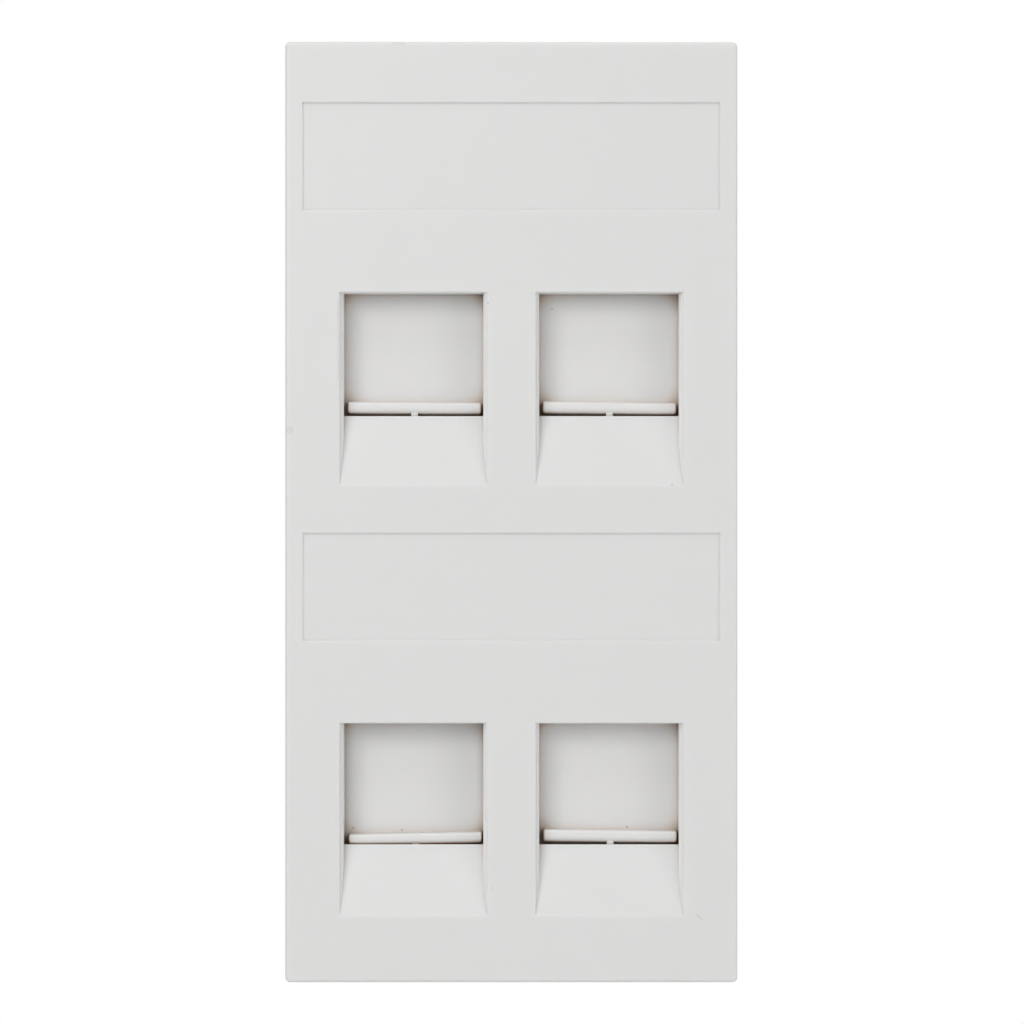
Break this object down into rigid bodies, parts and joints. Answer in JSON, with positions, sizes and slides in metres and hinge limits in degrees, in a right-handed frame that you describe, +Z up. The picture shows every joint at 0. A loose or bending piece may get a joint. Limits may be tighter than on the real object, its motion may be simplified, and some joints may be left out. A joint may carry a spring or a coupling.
{
  "type": "keystone faceplate",
  "caption": "Snap-in keystone faceplate with label recesses and ports closed by spring-loaded sliding shutters above sloping cable ramps.",
  "frame": {"origin": "centre of the plane in which the rear rim of the faceplate seats on its mounting frame", "axes": "+X to the right as seen from the front, +Y backwards into the wall, +Z up along the length of the plate; the front faces -Y"},
  "size_m": [0.05, 0.0166, 0.104],
  "materials": {
    "plate_plastic": "fine satin moulded, pale grey-white",
    "shutter_plastic": "satin moulded, pale grey-white",
    "carrier_plastic": "satin moulded, pale grey-white",
    "spring_steel": "drawn spring wire"
  },
  "bodies": {
    "plate": {"faceplate": "plate_plastic", "carrier_upper_left": "carrier_plastic", "spring_upper_left": "spring_steel", "carrier_upper_right": "carrier_plastic", "spring_upper_right": "spring_steel", "carrier_lower_left": "carrier_plastic", "spring_lower_left": "spring_steel", "carrier_lower_right": "carrier_plastic", "spring_lower_right": "spring_steel"},
    "shutter_upper_left": {"shutter_upper_left": "shutter_plastic"},
    "shutter_upper_right": {"shutter_upper_right": "shutter_plastic"},
    "shutter_lower_left": {"shutter_lower_left": "shutter_plastic"},
    "shutter_lower_right": {"shutter_lower_right": "shutter_plastic"}
  },
  "joints": [
    {"name": "slide_upper_left", "type": "slide", "parent": "plate", "child": "shutter_upper_left", "axis": [0, 0, 1], "range_m": [0, 0.0116], "stiffness_N_per_m": 30, "springref_m": -0.01, "deforming": ["spring_upper_left"]},
    {"name": "slide_upper_right", "type": "slide", "parent": "plate", "child": "shutter_upper_right", "axis": [0, 0, 1], "range_m": [0, 0.0116], "stiffness_N_per_m": 30, "springref_m": -0.01, "deforming": ["spring_upper_right"]},
    {"name": "slide_lower_left", "type": "slide", "parent": "plate", "child": "shutter_lower_left", "axis": [0, 0, 1], "range_m": [0, 0.0116], "stiffness_N_per_m": 30, "springref_m": -0.01, "deforming": ["spring_lower_left"]},
    {"name": "slide_lower_right", "type": "slide", "parent": "plate", "child": "shutter_lower_right", "axis": [0, 0, 1], "range_m": [0, 0.0116], "stiffness_N_per_m": 30, "springref_m": -0.01, "deforming": ["spring_lower_right"]}
  ]
}
